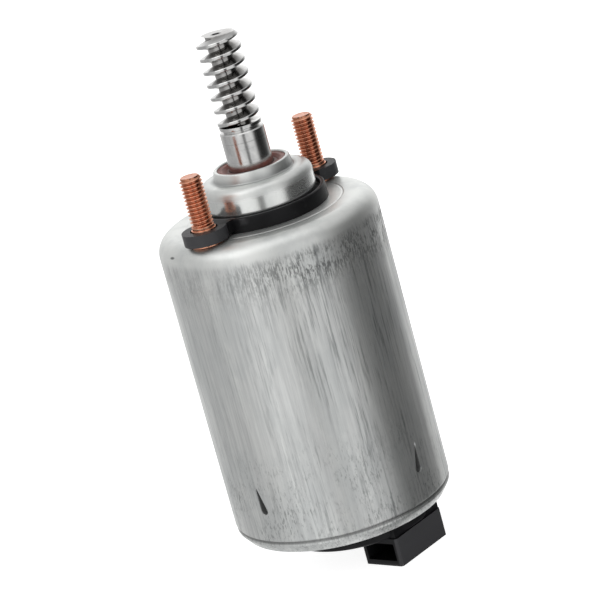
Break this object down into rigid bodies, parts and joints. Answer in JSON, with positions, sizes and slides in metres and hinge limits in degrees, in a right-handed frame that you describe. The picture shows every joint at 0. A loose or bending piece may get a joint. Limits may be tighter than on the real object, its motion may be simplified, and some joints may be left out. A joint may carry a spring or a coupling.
{
  "type": "worm shaft motor",
  "caption": "Brushed DC can motor with two mounting studs, a pilot drum, a rear plug socket and a worm cut on its output shaft.",
  "frame": {"origin": "centre of the two mounting studs on the seating plane, the top of the mounting ring's ears", "axes": "+Z along the shaft towards its free worm end, X through the two studs, plug housing on the -Y side of the rear cap"},
  "size_m": [0.06, 0.06, 0.1485],
  "materials": {
    "zinc_steel": "zinc-coated drawn steel, satin with drawing streaks",
    "coppered_steel": "copper flash on steel thread, bright",
    "black_moulding": "glass-filled nylon, fine matt",
    "black_rubber": "matt",
    "brown_rubber": "satin red-brown fluoro rubber",
    "bright_steel": "bright",
    "ground_steel": "ground and polished",
    "sintered_bronze": "matt sintered bronze",
    "tinned_brass": "tinned",
    "brown_laminate": "phenolic paper laminate",
    "copper": "bright copper",
    "ferrite": "dark grey sintered ferrite",
    "enamelled_wire": "varnished copper wire",
    "capacitor_resin": "dipped resin",
    "lamination_steel": "oxidised sheet stack",
    "carbon": "copper-graphite"
  },
  "bodies": {
    "housing": {"motor_can": "zinc_steel", "mount_studs": "coppered_steel", "mount_ring": "black_moulding", "ring_seal": "black_rubber", "seal_case": "bright_steel", "seal_lip": "brown_rubber", "seal_spring": "bright_steel", "front_bearing_outer": "bright_steel", "bearing_retainer": "bright_steel", "preload_washer": "bright_steel", "magnet_1": "ferrite", "magnet_2": "ferrite", "magnet_3": "ferrite", "magnet_4": "ferrite", "magnet_clips": "bright_steel", "end_cap": "black_moulding", "cap_seal": "black_rubber", "rear_bush": "sintered_bronze", "bush_retainer": "bright_steel", "terminal_positive": "tinned_brass", "terminal_negative": "tinned_brass", "brush_card": "brown_laminate", "card_screws": "bright_steel", "bus_bar_positive": "copper", "bus_bar_negative": "copper", "brush_holder_1": "tinned_brass", "brush_holder_2": "tinned_brass", "brush_holder_3": "tinned_brass", "brush_holder_4": "tinned_brass", "brush_spring_1": "bright_steel", "brush_spring_2": "bright_steel", "brush_spring_3": "bright_steel", "brush_spring_4": "bright_steel", "brush_lead_1": "copper", "brush_lead_2": "copper", "brush_lead_3": "copper", "brush_lead_4": "copper", "choke_core_1": "ferrite", "choke_core_2": "ferrite", "choke_coil_1": "enamelled_wire", "choke_coil_2": "enamelled_wire", "suppressor_capacitor": "capacitor_resin"},
    "rotor": {"worm_shaft": "ground_steel", "front_bearing_inner": "bright_steel", "shaft_clip": "bright_steel", "armature_core": "lamination_steel", "armature_winding": "enamelled_wire", "front_insulator": "brown_laminate", "rear_insulator": "brown_laminate", "commutator_hub": "black_moulding", "commutator_bars": "copper"},
    "bearing_cage": {"bearing_cage": "tinned_brass", "bearing_balls": "bright_steel"},
    "brush_1": {"brush_1": "carbon"},
    "brush_2": {"brush_2": "carbon"},
    "brush_3": {"brush_3": "carbon"},
    "brush_4": {"brush_4": "carbon"}
  },
  "joints": [
    {"name": "shaft_spin", "type": "hinge", "parent": "housing", "child": "rotor", "pos_m": [0, 0, 0], "axis": [0, 0, 1], "continuous": true},
    {"name": "bearing_cage_spin", "type": "hinge", "parent": "housing", "child": "bearing_cage", "pos_m": [0, 0, -0.0002], "axis": [0, 0, 1], "continuous": true},
    {"name": "brush_slide_1", "type": "slide", "parent": "housing", "child": "brush_1", "axis": [1, 0, 0], "range_m": [0, 0.002], "stiffness_N_per_m": 400, "springref_m": -0.008, "deforming": ["brush_spring_1", "brush_lead_1"]},
    {"name": "brush_slide_2", "type": "slide", "parent": "housing", "child": "brush_2", "axis": [0, 1, 0], "range_m": [0, 0.002], "stiffness_N_per_m": 400, "springref_m": -0.008, "deforming": ["brush_spring_2", "brush_lead_2"]},
    {"name": "brush_slide_3", "type": "slide", "parent": "housing", "child": "brush_3", "axis": [-1, 0, 0], "range_m": [0, 0.002], "stiffness_N_per_m": 400, "springref_m": -0.008, "deforming": ["brush_spring_3", "brush_lead_3"]},
    {"name": "brush_slide_4", "type": "slide", "parent": "housing", "child": "brush_4", "axis": [0, -1, 0], "range_m": [0, 0.002], "stiffness_N_per_m": 400, "springref_m": -0.008, "deforming": ["brush_spring_4", "brush_lead_4"]}
  ],
  "couplings": [
    {"joint": "bearing_cage_spin", "follows": "shaft_spin", "ratio": 0.3825}
  ]
}
